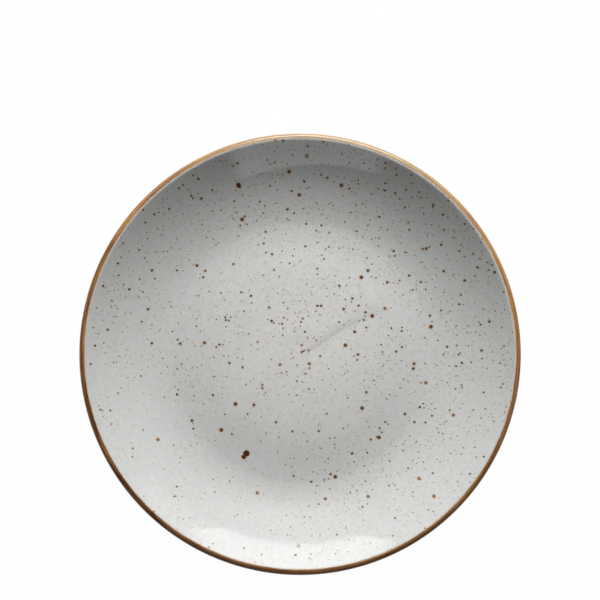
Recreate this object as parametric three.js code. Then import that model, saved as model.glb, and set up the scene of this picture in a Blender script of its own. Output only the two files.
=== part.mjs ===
// A speckled coupe dinner plate, in millimetres, +Z up, with its origin at the middle of the foot's tread.
// One fired clay body carries four coats that the kiln fuses to it: the front glaze, the brown band round
// the lip, the back glaze and the glaze inside the foot ring. Only the foot ring is left bare. Every piece
// is a revolve about the plate's axis, and each coat is offset from the meridian that turns the clay.

import * as THREE from "three";

// Driving dimensions of the finished plate
const RIM_DIAMETER = 260; // across the lip band at its widest
const HEIGHT = 26.5; // from the table to the crest of the glazed lip

// The clay body
const WELL_DIAMETER = 154; // across the crease where the well meets the wall
const WELL_CROWN = 1.8; // how far the middle of the well stands above the crease
const FLOOR_THICKNESS = 5; // between the crease and the level of the foot ring's root
const LIP_THICKNESS = 4.8; // across the rounded lip
const WALL_SLOPE = 3; // degrees, the rise of both sides of the wall where they start
const RIM_SLOPE = 31; // degrees, the rise of both sides of the wall where they run into the lip

// The foot ring
const FOOT_DIAMETER = 150; // across the ring where its outer flank would meet the table
const FOOT_WIDTH = 5; // between the two flanks at the table, before their edges are rounded
const FOOT_HEIGHT = 2.8; // from the table to the hollow inside the ring
const FOOT_DRAFT = 20; // degrees that each flank leans off the upright
const FOOT_EDGE_RADIUS = 0.8; // rounding beside the tread
const FOOT_ROOT_RADIUS = 1.5; // fillet where a flank runs into the plate

// The coats
const GLAZE_THICKNESS = 0.4;
const BAND_THICKNESS = 0.4;
const BAND_START = 7; // degrees round the lip from its crest, towards the outside
const BAND_BACK_REACH = 40; // degrees round the lip from its widest point, towards the back
const COAT_CLEARANCE = 0.05; // between a coat and the clay, and between two coats on the lip

// How far each end of a curve holds its own direction, as shares of the curve's span
const CROWN_HOLD = 0.83;
const GUTTER_HOLD = 0.29;
const WALL_HOLD = 0.48;
const RIM_HOLD = 0.12;

// Steps of each stretch of the meridian, and of the turn
const CROWN_STEPS = 5;
const WALL_STEPS = 6;
const LIP_FRONT_STEPS = 2;
const LIP_CREST_STEPS = 1;
const BAND_CROWN_STEPS = 3;
const BAND_BACK_STEPS = 2;
const LIP_BACK_STEPS = 1;
const FILLET_STEPS = 2;
const STRAIGHT_STEPS = 1;
const TURN_STEPS = 60;

const radians = THREE.MathUtils.degToRad;
const at = (radius, height) => new THREE.Vector2(radius, height);
const heading = (degrees) => at(Math.cos(radians(degrees)), Math.sin(radians(degrees)));

// Curves of the meridian, in (radius, height)

// A curve that leaves its inner end at one slope, in degrees, and reaches its outer end at another.
function sloped(inner, innerSlope, innerHold, outer, outerSlope, outerHold) {
  const span = outer.x - inner.x;
  const rise = (slope) => at(1, Math.tan(radians(slope)));
  const leave = inner.clone().addScaledVector(rise(innerSlope), innerHold * span);
  const arrive = outer.clone().addScaledVector(rise(outerSlope), -outerHold * span);
  return new THREE.CubicBezierCurve(inner, leave, arrive, outer);
}

const crown = (middle, edge) => sloped(middle, 0, CROWN_HOLD, edge, 0, GUTTER_HOLD);
const wall = (inner, outer) => sloped(inner, WALL_SLOPE, WALL_HOLD, outer, RIM_SLOPE, RIM_HOLD);

// A rounded corner: its curve, and the two points where the straight sides end.
function rounded(corner, towardsStart, towardsEnd, radius) {
  const halfOpening = towardsStart.angleTo(towardsEnd) / 2;
  const reach = radius / Math.tan(halfOpening);
  const start = corner.clone().addScaledVector(towardsStart, reach);
  const end = corner.clone().addScaledVector(towardsEnd, reach);
  return { start, end, curve: new THREE.QuadraticBezierCurve(start, corner, end) };
}

// The same cubic walked the other way.
function reversed(curve) {
  return new THREE.CubicBezierCurve(curve.v3, curve.v2, curve.v1, curve.v0);
}

// The clay's meridian, from the middle of the front, round the lip and the foot, to the middle of the back

const glazeBuild = COAT_CLEARANCE + GLAZE_THICKNESS;
const bandBuild = COAT_CLEARANCE + BAND_THICKNESS;
const lipRadius = LIP_THICKNESS / 2;
const lipCentre = at(RIM_DIAMETER / 2 - bandBuild - lipRadius, HEIGHT - glazeBuild - lipRadius);
const crestAngle = 90;
const widestAngle = 0;
const lipFrontAngle = crestAngle + RIM_SLOPE;
const bandFrontAngle = crestAngle - BAND_START;
const bandBackAngle = widestAngle - BAND_BACK_REACH;
const lipBackAngle = RIM_SLOPE - 90;
const coatGapAngle = THREE.MathUtils.radToDeg(COAT_CLEARANCE / lipRadius);

const onLip = (degrees) => heading(degrees).multiplyScalar(lipRadius).add(lipCentre);
const lipArc = (from, to) =>
  new THREE.ArcCurve(lipCentre.x, lipCentre.y, lipRadius, radians(from), radians(to), true);

const crease = at(WELL_DIAMETER / 2, FOOT_HEIGHT + FLOOR_THICKNESS);
const wellMiddle = at(0, crease.y + WELL_CROWN);
const hollowMiddle = at(0, FOOT_HEIGHT + WELL_CROWN);

const outward = heading(0);
const inward = heading(180);
const upWall = heading(WALL_SLOPE);
const upOuterFlank = heading(90 - FOOT_DRAFT);
const upInnerFlank = heading(90 + FOOT_DRAFT);
const downOuterFlank = upOuterFlank.clone().negate();
const downInnerFlank = upInnerFlank.clone().negate();
const flankLength = FOOT_HEIGHT / Math.cos(radians(FOOT_DRAFT));
const outerToe = at(FOOT_DIAMETER / 2, 0);
const innerToe = at(FOOT_DIAMETER / 2 - FOOT_WIDTH, 0);
const outerHeel = outerToe.clone().addScaledVector(upOuterFlank, flankLength);
const innerHeel = innerToe.clone().addScaledVector(upInnerFlank, flankLength);

const outerRoot = rounded(outerHeel, upWall, downOuterFlank, FOOT_ROOT_RADIUS);
const outerEdge = rounded(outerToe, upOuterFlank, inward, FOOT_EDGE_RADIUS);
const innerEdge = rounded(innerToe, outward, upInnerFlank, FOOT_EDGE_RADIUS);
const innerRoot = rounded(innerHeel, downInnerFlank, inward, FOOT_ROOT_RADIUS);

const frontRun = [
  [crown(wellMiddle, crease), CROWN_STEPS],
  [wall(crease, onLip(lipFrontAngle)), WALL_STEPS],
  [lipArc(lipFrontAngle, crestAngle), LIP_FRONT_STEPS],
];
const bandRun = [
  [lipArc(bandFrontAngle, widestAngle), BAND_CROWN_STEPS],
  [lipArc(widestAngle, bandBackAngle), BAND_BACK_STEPS],
];
const backRun = [
  [reversed(wall(outerRoot.start, onLip(lipBackAngle))), WALL_STEPS],
  [outerRoot.curve, FILLET_STEPS],
];
const bareRun = [
  [new THREE.LineCurve(outerRoot.end, outerEdge.start), STRAIGHT_STEPS],
  [outerEdge.curve, FILLET_STEPS],
  [new THREE.LineCurve(outerEdge.end, innerEdge.start), STRAIGHT_STEPS],
  [innerEdge.curve, FILLET_STEPS],
  [new THREE.LineCurve(innerEdge.end, innerRoot.start), STRAIGHT_STEPS],
];
const hollowRun = [
  [innerRoot.curve, FILLET_STEPS],
  [reversed(crown(hollowMiddle, innerRoot.end)), CROWN_STEPS],
];
const lipFront = (end) => [lipArc(crestAngle, end), LIP_CREST_STEPS];
const lipBack = (start) => [lipArc(start, lipBackAngle), LIP_BACK_STEPS];

// Profiles

// Stations along a run of curves: each has its point and the normal that leaves the clay.
function stations(run) {
  const found = [];
  for (const [curve, steps] of run) {
    const firstStep = found.length === 0 ? 0 : 1;
    for (let step = firstStep; step <= steps; step += 1) {
      const point = curve.getPoint(step / steps);
      const tangent = curve.getTangent(step / steps);
      const normal = at(-tangent.y, tangent.x);
      if (point.x === 0) normal.set(0, Math.sign(normal.y));
      found.push({ point, normal });
    }
  }
  return found;
}

const raised = (run, height) =>
  stations(run).map(({ point, normal }) => point.addScaledVector(normal, height));

// A coat's section: its face one way and its seat on the clay the other. It starts and ends on the axis
// where its run does, and otherwise closes on itself.
function coatProfile(run, thickness) {
  const face = raised(run, COAT_CLEARANCE + thickness);
  const seat = raised(run, COAT_CLEARANCE).reverse();
  if (face[0].x === 0) return [...face, ...seat];
  if (seat[0].x === 0) return [...seat, ...face];
  return [...face, ...seat, face[0].clone()];
}

const clayProfile = raised(
  [
    ...frontRun,
    lipFront(bandFrontAngle),
    ...bandRun,
    lipBack(bandBackAngle),
    ...backRun,
    ...bareRun,
    ...hollowRun,
  ],
  0,
);
const frontGlazeProfile = coatProfile(
  [...frontRun, lipFront(bandFrontAngle + coatGapAngle)],
  GLAZE_THICKNESS,
);
const backGlazeProfile = coatProfile(
  [lipBack(bandBackAngle - coatGapAngle), ...backRun],
  GLAZE_THICKNESS,
);

// Finishes

const glazeFinish = { roughness: 0.12, metalness: 0 };
const biscuit = new THREE.MeshStandardMaterial({ color: 0xd9d0c2, roughness: 0.8, metalness: 0 });
const frontGlaze = new THREE.MeshStandardMaterial({ color: 0xc9ccc8, ...glazeFinish });
const backGlaze = new THREE.MeshStandardMaterial({ color: 0xc9ccc8, ...glazeFinish });
const hollowGlaze = new THREE.MeshStandardMaterial({ color: 0xc9ccc8, ...glazeFinish });
const ironBand = new THREE.MeshStandardMaterial({ color: 0x86501f, roughness: 0.22, metalness: 0 });

// The plate

// Profiles run clockwise from the front, and a lathe's faces look outwards when they run the other way.
function revolve(name, profile, material) {
  const geometry = new THREE.LatheGeometry([...profile].reverse(), TURN_STEPS);
  const mesh = new THREE.Mesh(geometry, material);
  mesh.name = name;
  return mesh;
}

const turned = new THREE.Group();
turned.rotation.x = Math.PI / 2; // a lathe turns about Y, and the plate's axis is Z
turned.add(
  revolve("clay_body", clayProfile, biscuit),
  revolve("front_glaze", frontGlazeProfile, frontGlaze),
  revolve("lip_band", coatProfile(bandRun, BAND_THICKNESS), ironBand),
  revolve("back_glaze", backGlazeProfile, backGlaze),
  revolve("foot_hollow_glaze", coatProfile(hollowRun, GLAZE_THICKNESS), hollowGlaze),
);

const plate = new THREE.Group();
plate.add(turned);

export default plate;
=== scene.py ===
"""Looks of a speckled coupe plate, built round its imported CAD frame.

One meridian, in radius and height, carries the clay and its four fused coats. Each visible piece is that
meridian's own stretch, raised to the piece's two sides and turned about Z as a whole numpy grid. The coats
get an iron-speckled glossy glaze and a brown lip band, and the bare foot ring a dry biscuit finish.
"""

import logging
import math
from dataclasses import dataclass, replace
from enum import Enum
from functools import reduce
from typing import Callable, Mapping, Optional, Sequence, Union

import bpy
import numpy as np
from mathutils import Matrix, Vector


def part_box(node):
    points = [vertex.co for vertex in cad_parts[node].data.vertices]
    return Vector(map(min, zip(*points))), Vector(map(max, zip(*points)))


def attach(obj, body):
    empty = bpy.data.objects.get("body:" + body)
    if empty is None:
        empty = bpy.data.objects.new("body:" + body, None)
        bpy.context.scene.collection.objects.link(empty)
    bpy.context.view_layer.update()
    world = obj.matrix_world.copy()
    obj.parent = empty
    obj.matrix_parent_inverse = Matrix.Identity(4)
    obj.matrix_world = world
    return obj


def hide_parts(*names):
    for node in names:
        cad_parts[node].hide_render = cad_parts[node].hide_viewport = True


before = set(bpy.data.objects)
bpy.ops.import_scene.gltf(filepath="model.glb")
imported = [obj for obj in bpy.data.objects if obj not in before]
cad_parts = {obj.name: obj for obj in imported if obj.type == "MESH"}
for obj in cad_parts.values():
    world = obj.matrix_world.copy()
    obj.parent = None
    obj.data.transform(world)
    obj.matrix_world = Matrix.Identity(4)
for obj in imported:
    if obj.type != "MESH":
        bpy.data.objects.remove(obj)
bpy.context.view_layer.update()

MM = 0.001
LOG = logging.getLogger("coupe_plate")
BODY = "root"
BAKE_MAP = "OFBake"
FINE_WALK = 8  # steps along a curve that measure each of its own steps
AXIS_REACH = 1e-7  # a point nearer to the axis than this lies on it
DEGREES = math.degrees(1)  # degrees in a radian

Colour = tuple[float, float, float, float]
Point = tuple[float, float]
Relief = Callable[[np.ndarray, np.ndarray], np.ndarray]

WHITE = (1.0, 1.0, 1.0, 1.0)
BLACK = (0.0, 0.0, 0.0, 1.0)


def srgb(red: int, green: int, blue: int) -> Colour:
    """Linear colour of an 8-bit screen colour.

    Each channel, from 0 to 1, is divided by 12.92 up to 0.04045. Past that, it has 0.055 added, is divided by
    1.055 and is raised to the power 2.4.

    Args:
        red, green, blue: screen values from 0 to 255.

    Returns:
        The linear colour, with full alpha.
    """
    screen = np.array([red, green, blue]) / 255
    linear = np.where(screen <= 0.04045, screen / 12.92, ((screen + 0.055) / 1.055) ** 2.4)
    return (*linear.tolist(), 1.0)


def placed(name: str, data: bpy.types.ID) -> bpy.types.Object:
    """A new object that holds some data, linked to the scene.

    Args:
        name: the object's name.
        data: its mesh, lamp or camera.

    Returns:
        The object.
    """
    thing = bpy.data.objects.new(name, data)
    bpy.context.scene.collection.objects.link(thing)
    return thing


# Meridian


@dataclass(frozen=True)
class PlateSizes:
    """Sizes of the plate in metres and radians: the frame's rim and height, and the solids' own values."""

    rim_radius: float
    height: float
    well_radius: float = 77 * MM
    well_crown: float = 1.8 * MM
    floor_thickness: float = 5 * MM
    lip_thickness: float = 4.8 * MM
    wall_slope: float = math.radians(3)
    rim_slope: float = math.radians(31)
    foot_radius: float = 75 * MM
    foot_width: float = 5 * MM
    foot_height: float = 2.8 * MM
    foot_draft: float = math.radians(20)
    foot_edge_radius: float = 0.8 * MM
    foot_root_radius: float = 1.5 * MM
    coat_thickness: float = 0.4 * MM
    coat_clearance: float = 0.05 * MM
    band_start: float = math.radians(7)
    band_back_reach: float = math.radians(40)
    crown_hold: float = 0.83
    gutter_hold: float = 0.29
    wall_hold: float = 0.48
    rim_hold: float = 0.12

    @classmethod
    def from_frame(cls) -> "PlateSizes":
        """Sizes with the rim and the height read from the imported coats' boxes."""
        return cls(rim_radius=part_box("lip_band")[1].x, height=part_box("front_glaze")[1].z)

    @property
    def coat_build(self) -> float:
        """How far a coat's face stands off the clay."""
        return self.coat_clearance + self.coat_thickness

    @property
    def lip_radius(self) -> float:
        """Radius of the clay's rounded lip."""
        return self.lip_thickness / 2

    @property
    def lip_centre(self) -> Point:
        """Middle of the lip's round, in radius and height."""
        inset = self.coat_build + self.lip_radius
        return self.rim_radius - inset, self.height - inset


@dataclass(frozen=True)
class Run:
    """A stretch of the meridian: points in (radius, height), with unit normals that leave the clay."""

    points: np.ndarray
    normals: np.ndarray

    def raised(self, height: float) -> np.ndarray:
        """The run's points, each moved along its own normal."""
        return self.points + height * self.normals

    def reversed_outside(self) -> "Run":
        """The same stretch walked the other way, as the other side of the clay: its normals turn over."""
        return Run(self.points[::-1], -self.normals[::-1])

    def then(self, *others: "Run") -> "Run":
        """This run with others joined on, whose first points repeat the last one's end.

        Args:
            others: the runs that follow, each from where the last one ends.

        Returns:
            The joined run.
        """
        points = [self.points, *(other.points[1:] for other in others)]
        normals = [self.normals, *(other.normals[1:] for other in others)]
        return Run(np.concatenate(points), np.concatenate(normals))


def travelled(points: np.ndarray) -> np.ndarray:
    """Length of a broken line from its first point to each of its points."""
    return np.concatenate([[0], np.cumsum(np.linalg.norm(np.diff(points, axis=0), axis=1))])


def bernstein(values: np.ndarray, share: np.ndarray) -> np.ndarray:
    """Blends values by their Bernstein weights, C(n, k) t^k (1 - t)^(n - k) for value k of n + 1.

    Args:
        values: one row for each control.
        share: the ways along the curve, t, from zero to one.

    Returns:
        The blend at each share.
    """
    degree = len(values) - 1
    k = np.arange(degree + 1)
    ways = np.array([math.comb(degree, int(each)) for each in k])
    t = share[:, None]
    return (ways * t**k * (1 - t) ** (degree - k)) @ values


def bezier(controls: Sequence[Point], steps: int) -> Run:
    """A Bezier curve of any degree, in steps of equal length.

    A point is the Bernstein blend of the controls. The tangent is the blend, one degree lower, of the
    differences between neighbouring controls, and the normal is the tangent turned a quarter to the left. A
    finer walk in even steps of t gives the lengths.

    Args:
        controls: control points in (radius, height).
        steps: equal steps along the curve.

    Returns:
        The run of steps + 1 stations.
    """
    anchors = np.array(controls, float)
    even = np.linspace(0, 1, FINE_WALK * steps + 1)
    travel = travelled(bernstein(anchors, even))
    share = np.interp(np.linspace(0, travel[-1], steps + 1), travel, even)
    tangents = bernstein(np.diff(anchors, axis=0), share)
    tangents /= np.linalg.norm(tangents, axis=1, keepdims=True)
    return Run(bernstein(anchors, share), np.stack([-tangents[:, 1], tangents[:, 0]], axis=1))


def sloped(inner: Point, inner_ease: Point, outer: Point, outer_ease: Point, steps: int) -> Run:
    """A cubic that leaves its inner end at one slope and reaches its outer end at another.

    Args:
        inner, outer: its ends, in (radius, height).
        inner_ease, outer_ease: each end's slope, and the share of the span over which the end holds it.
        steps: equal steps along the curve.

    Returns:
        The run, from the inner end to the outer one.
    """
    span = outer[0] - inner[0]
    leave = inner_ease[1] * span
    arrive = outer_ease[1] * span
    controls = [
        inner,
        (inner[0] + leave, inner[1] + leave * math.tan(inner_ease[0])),
        (outer[0] - arrive, outer[1] - arrive * math.tan(outer_ease[0])),
        outer,
    ]
    return bezier(controls, steps)


def arc(centre: Point, radius: float, start: float, end: float, steps: int) -> Run:
    """A circular arc whose normals point away from its centre.

    Args:
        centre: middle of the circle, in (radius, height).
        radius: radius of the circle.
        start, end: angles from the outward direction, in radians.
        steps: equal steps along the arc.

    Returns:
        The run of steps + 1 stations.
    """
    angles = np.linspace(start, end, steps + 1)
    normals = np.stack([np.cos(angles), np.sin(angles)], axis=1)
    return Run(np.array(centre) + radius * normals, normals)


@dataclass(frozen=True)
class Corner:
    """A corner rounded by a parabola that leaves both sides at the same distance from it."""

    start: Point
    middle: Point
    end: Point

    @classmethod
    def between(cls, middle: Point, to_start: float, to_end: float, radius: float) -> "Corner":
        """A corner between two directions.

        Args:
            middle: the sharp corner, in (radius, height).
            to_start, to_end: angles of the two sides, seen from the corner.
            radius: radius of the rounding, whose reach along each side is radius / tan(half the opening).

        Returns:
            The rounded corner.
        """
        opening = abs((to_start - to_end + math.pi) % math.tau - math.pi)
        reach = radius / math.tan(opening / 2)
        sides = [np.array(middle) + reach * np.array([math.cos(a), math.sin(a)]) for a in (to_start, to_end)]
        return cls(tuple(sides[0]), middle, tuple(sides[1]))

    def run(self, steps: int) -> Run:
        """The rounding itself, as a run."""
        return bezier([self.start, self.middle, self.end], steps)


@dataclass(frozen=True)
class Meridian:
    """The clay's outline, from the middle of the front, round the lip and the foot, to the back's middle."""

    sizes: PlateSizes
    crown_steps: int = 128
    hollow_steps: int = 40
    wall_steps: int = 48
    lip_step: float = math.radians(4)
    fillet_steps: int = 6
    tread_steps: int = 4

    @property
    def crest(self) -> float:
        """Angle of the lip's highest point."""
        return math.pi / 2

    @property
    def lip_front(self) -> float:
        """Angle where the front wall runs into the lip."""
        return self.crest + self.sizes.rim_slope

    @property
    def lip_back(self) -> float:
        """Angle where the back wall runs into the lip."""
        return self.sizes.rim_slope - self.crest

    @property
    def band_front(self) -> float:
        """Angle of the lip band's edge on the front."""
        return self.crest - self.sizes.band_start

    @property
    def band_back(self) -> float:
        """Angle of the lip band's edge on the back."""
        return -self.sizes.band_back_reach

    def on_lip(self, angle: float) -> Point:
        """The point of the clay's lip at an angle from its outward direction.

        Args:
            angle: the angle, in radians.

        Returns:
            The point, in (radius, height).
        """
        radius, height = self.sizes.lip_centre
        reach = self.sizes.lip_radius
        return radius + reach * math.cos(angle), height + reach * math.sin(angle)

    def lip(self, start: float, end: float) -> Run:
        """The lip's round between two angles."""
        steps = max(2, round(abs(start - end) / self.lip_step))
        return arc(self.sizes.lip_centre, self.sizes.lip_radius, start, end, steps)

    def crown(self, edge: Point, steps: int) -> Run:
        """The rise of the well, or of the hollow under it, level at the axis and at its edge.

        Args:
            edge: where the rise ends, in (radius, height).
            steps: equal steps along it.

        Returns:
            The run, from the axis to the edge.
        """
        top = (0.0, edge[1] + self.sizes.well_crown)
        return sloped(top, (0.0, self.sizes.crown_hold), edge, (0.0, self.sizes.gutter_hold), steps)

    def wall(self, inner: Point, outer: Point) -> Run:
        """One side of the wall, from its own first slope to the rim's slope.

        Args:
            inner, outer: its ends, in (radius, height).

        Returns:
            The run, from the inner end to the outer one.
        """
        inner_ease = (self.sizes.wall_slope, self.sizes.wall_hold)
        outer_ease = (self.sizes.rim_slope, self.sizes.rim_hold)
        return sloped(inner, inner_ease, outer, outer_ease, self.wall_steps)

    def front(self) -> Run:
        """The eating side, from the axis, over the crease and up the wall, to the lip.

        Returns:
            The run, from the axis outwards.
        """
        crease = (self.sizes.well_radius, self.sizes.foot_height + self.sizes.floor_thickness)
        rise = self.crown(crease, self.crown_steps)
        return rise.then(self.wall(crease, self.on_lip(self.lip_front)))

    def foot_corners(self) -> tuple[Corner, Corner, Corner, Corner]:
        """The foot ring's rounded corners: outer root, outer edge, inner edge and inner root.

        Returns:
            The four corners, in that order.
        """
        s = self.sizes
        lean = s.foot_height * math.tan(s.foot_draft)
        outer_up = math.pi / 2 - s.foot_draft
        inner_up = math.pi / 2 + s.foot_draft
        outer_toe = (s.foot_radius, 0.0)
        inner_toe = (s.foot_radius - s.foot_width, 0.0)
        outer_heel = (outer_toe[0] + lean, s.foot_height)
        inner_heel = (inner_toe[0] - lean, s.foot_height)
        return (
            Corner.between(outer_heel, s.wall_slope, outer_up + math.pi, s.foot_root_radius),
            Corner.between(outer_toe, outer_up, math.pi, s.foot_edge_radius),
            Corner.between(inner_toe, 0.0, inner_up, s.foot_edge_radius),
            Corner.between(inner_heel, inner_up + math.pi, math.pi, s.foot_root_radius),
        )

    def back(self) -> Run:
        """The underside, from the lip to the lower end of the foot's outer fillet.

        Returns:
            The run, from the lip inwards.
        """
        root = self.foot_corners()[0]
        wall = self.wall(root.start, self.on_lip(self.lip_back))
        return wall.reversed_outside().then(root.run(self.fillet_steps))

    def bare(self) -> Run:
        """The foot ring that stays unglazed: both flanks, both rounded edges and the tread.

        Returns:
            The run, from the outer flank to the inner one.
        """
        outer_root, outer_edge, inner_edge, inner_root = self.foot_corners()
        return bezier([outer_root.end, outer_edge.start], self.tread_steps).then(
            outer_edge.run(self.fillet_steps),
            bezier([outer_edge.end, inner_edge.start], self.tread_steps),
            inner_edge.run(self.fillet_steps),
            bezier([inner_edge.end, inner_root.start], self.tread_steps),
        )

    def hollow(self) -> Run:
        """The hollow inside the foot ring, from its fillet to the axis.

        Returns:
            The run, from the fillet inwards.
        """
        root = self.foot_corners()[3]
        rise = self.crown(root.end, self.hollow_steps)
        return root.run(self.fillet_steps).then(rise.reversed_outside())


# Turned meshes


class Patch(Enum):
    """Where a stretch of a profile lies on the piece's bake map: its disc's middle and radius."""

    MAIN = (0.5, 0.5, 0.49)
    HIDDEN_FRONT = (0.065, 0.065, 0.06)
    HIDDEN_BACK = (0.935, 0.065, 0.06)


class Layout(Enum):
    """How a piece's surface is spread over its bake map."""

    DISCS = "plan views, the shown side large and the hidden sides in the corners"
    ROWS = "the ring cut into equal lengths, stacked as rows"


@dataclass
class Turned:
    """A closed surface of revolution: profile stretches turned about Z in equal steps.

    The profile runs clockwise from the front, so its left side is outside. A point on the axis becomes a
    single pole vertex, and a profile that stays off the axis joins its end to its start.
    """

    profile: np.ndarray
    patches: Sequence[Patch]
    steps: int
    layout: Layout = Layout.DISCS
    relief: Optional[Relief] = None
    relief_rows: Optional[np.ndarray] = None
    rows: int = 20
    row_margin: float = 0.04
    sharp_angle: float = math.radians(50)

    def __post_init__(self) -> None:
        """Finds the poles and numbers the vertices, ring by ring."""
        self.on_axis = self.profile[:, 0] < AXIS_REACH
        self.closed = not self.on_axis.any()
        ring_sizes = np.where(self.on_axis, 1, self.steps)
        starts = np.concatenate([[0], np.cumsum(ring_sizes)[:-1]])
        turn = np.where(self.on_axis[:, None], 0, np.arange(self.steps))
        self.index = starts[:, None] + turn

    def vertices(self) -> np.ndarray:
        """All vertices: radius times (cos, sin) of the turn, and the height plus any relief.

        Returns:
            Their places, as an (n, 3) array.
        """
        angles = math.tau * np.arange(self.steps) / self.steps
        radius, height = self.profile[:, :1], self.profile[:, 1:]
        x = radius * np.cos(angles)
        y = radius * np.sin(angles)
        z = np.broadcast_to(height, x.shape).copy()
        if self.relief is not None:
            z += self.relief_rows[:, None] * self.relief(x, y)
        grid = np.stack([x, y, z], axis=-1)
        found = np.zeros((self.index.max() + 1, 3))
        found[self.index] = grid
        return found

    def corners(self) -> tuple[np.ndarray, np.ndarray]:
        """Corner indices of every face.

        Rings i and i + 1, at steps j and j + 1, make a quad that is anticlockwise from outside. Next to a
        pole the quad loses the side that shrinks to a point, and becomes a triangle.

        Returns:
            Faces as (n, 4) vertex numbers, with -1 last in a triangle, and each face's profile stretch.
        """
        ahead = np.roll(self.index, -1, axis=0)
        stretch = np.broadcast_to(np.arange(len(self.index))[:, None], self.index.shape)
        beside = np.roll(self.index, -1, axis=1)
        across = np.roll(ahead, -1, axis=1)
        none = np.full_like(self.index, -1)
        quads = np.stack([self.index, ahead, across, beside], axis=-1)
        from_pole = np.stack([self.index, ahead, across, none], axis=-1)
        to_pole = np.stack([self.index, ahead, beside, none], axis=-1)
        faces = np.where(self.on_axis[:, None, None], from_pole, quads)
        faces = np.where(np.roll(self.on_axis, -1)[:, None, None], to_pole, faces)
        kept = np.ones(len(self.index), bool)
        kept[-1] = self.closed
        return faces[kept].reshape(-1, 4), stretch[kept].reshape(-1)

    def disc_map(self, faces: np.ndarray, stretch: np.ndarray, places: np.ndarray) -> np.ndarray:
        """Bake map of plan views: x and y scaled so that each patch's widest ring fills its disc.

        Args:
            faces, stretch: every face's corners and profile stretch.
            places: the vertices.

        Returns:
            Two map coordinates for each corner.
        """
        owners = list(Patch)
        patch_of = np.array([owners.index(patch) for patch in self.patches])[stretch]
        middles = np.array([patch.value[:2] for patch in owners])
        discs = np.array([patch.value[2] for patch in owners])
        widest = np.array([self.widest(patch) for patch in owners])
        scale = (discs / widest)[patch_of]
        return middles[patch_of][:, None] + places[faces][..., :2] * scale[:, None, None]

    def widest(self, patch: Patch) -> float:
        """Largest radius among a patch's stretches, or 1 where it has none.

        Args:
            patch: a patch of the bake map.

        Returns:
            The radius.
        """
        held = np.array([owner is patch for owner in self.patches])
        used = held | np.roll(held, 1)
        return float(self.profile[used, 0].max()) if held.any() else 1.0

    def row_map(self, stretch: np.ndarray) -> np.ndarray:
        """Bake map of stacked rows: the turn runs along a row, and the way round the section runs up it.

        Args:
            stretch: every face's profile stretch.

        Returns:
            Two map coordinates for each corner.
        """
        per_row = self.steps // self.rows
        step = np.tile(np.arange(self.steps), len(stretch) // self.steps)
        u = (step % per_row)[:, None] + np.array([0, 0, 1, 1])
        ends = np.concatenate([self.profile, self.profile[:1]])
        travel = travelled(ends)
        v = np.stack([travel[stretch], travel[stretch + 1], travel[stretch + 1], travel[stretch]], axis=1)
        row = (step // per_row)[:, None]
        up = self.row_margin + (1 - 2 * self.row_margin) * v / travel[-1]
        return np.stack([u / per_row, (row + up) / self.rows], axis=-1)

    def build(self, name: str) -> bpy.types.Object:
        """Makes the mesh object at the origin, smooth, with its bake map.

        Args:
            name: the piece's name.

        Returns:
            The new object, linked to the scene.
        """
        places = self.vertices()
        faces, stretch = self.corners()
        solid = faces >= 0
        lists = [row[:count] for row, count in zip(faces.tolist(), solid.sum(axis=1).tolist())]
        mesh = bpy.data.meshes.new(name)
        mesh.from_pydata(places.tolist(), [], lists)
        if self.layout is Layout.ROWS:
            charts = self.row_map(stretch)
        else:
            charts = self.disc_map(faces, stretch, places)
        mesh.uv_layers.new(name=BAKE_MAP).data.foreach_set("uv", charts[solid].astype(np.float32).ravel())
        mesh.polygons.foreach_set("use_smooth", np.ones(len(lists), bool))
        mesh.set_sharp_from_angle(angle=self.sharp_angle)
        mesh.validate()
        return placed(name, mesh)


# Shader graphs


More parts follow.
